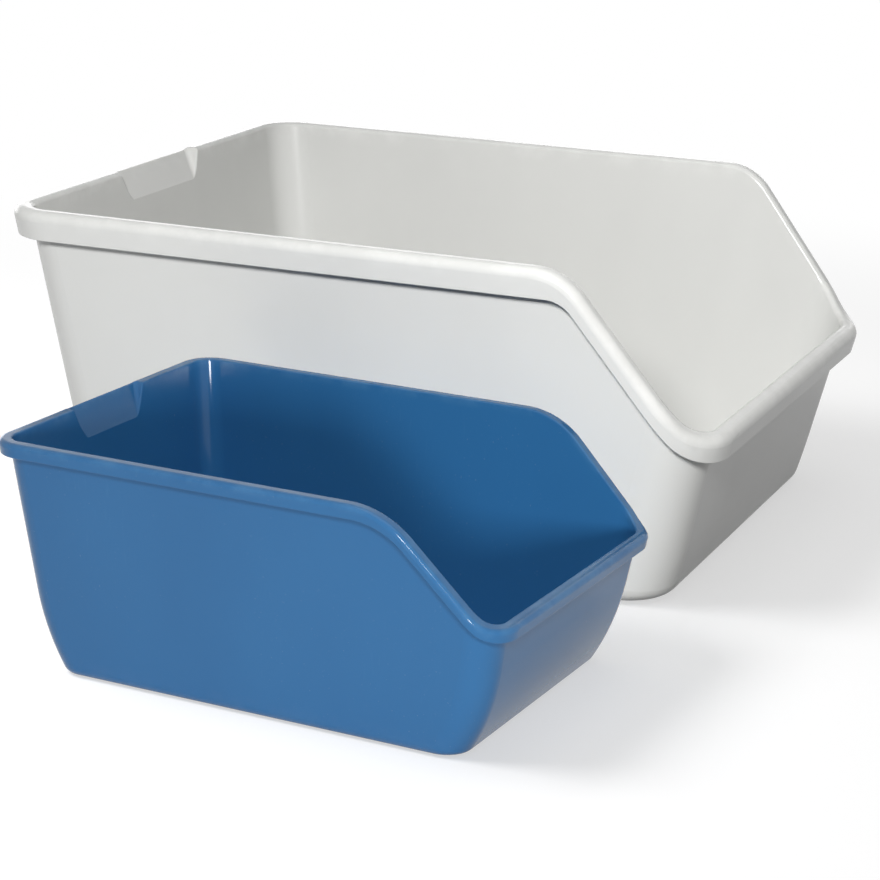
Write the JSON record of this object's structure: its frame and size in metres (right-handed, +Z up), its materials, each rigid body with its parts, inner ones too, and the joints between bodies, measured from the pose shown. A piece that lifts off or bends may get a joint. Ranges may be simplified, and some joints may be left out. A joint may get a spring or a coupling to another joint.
{
  "type": "litter tray",
  "caption": "Open plastic litter tray with a high back, sloping sides, low front entry and turned-down rim, and a smaller tray of the same design standing in front of it.",
  "frame": {"origin": "middle of the large tray's underside, on the floor", "axes": "+X from the high back to the low front of the large tray, +Z up, -Y towards the small tray"},
  "size_m": [0.5618, 0.7596, 0.249],
  "materials": {
    "light_grey_plastic": "smooth moulded polypropylene, satin gloss",
    "blue_plastic": "smooth moulded polypropylene, glossy"
  },
  "bodies": {
    "large_tray": {"large_tray": "light_grey_plastic"},
    "small_tray": {"small_tray": "blue_plastic"}
  },
  "joints": [
    {"name": "small_tray_lift", "type": "slide", "parent": "large_tray", "child": "small_tray", "axis": [0, 0, 1], "range_m": [0, 0.27]}
  ]
}
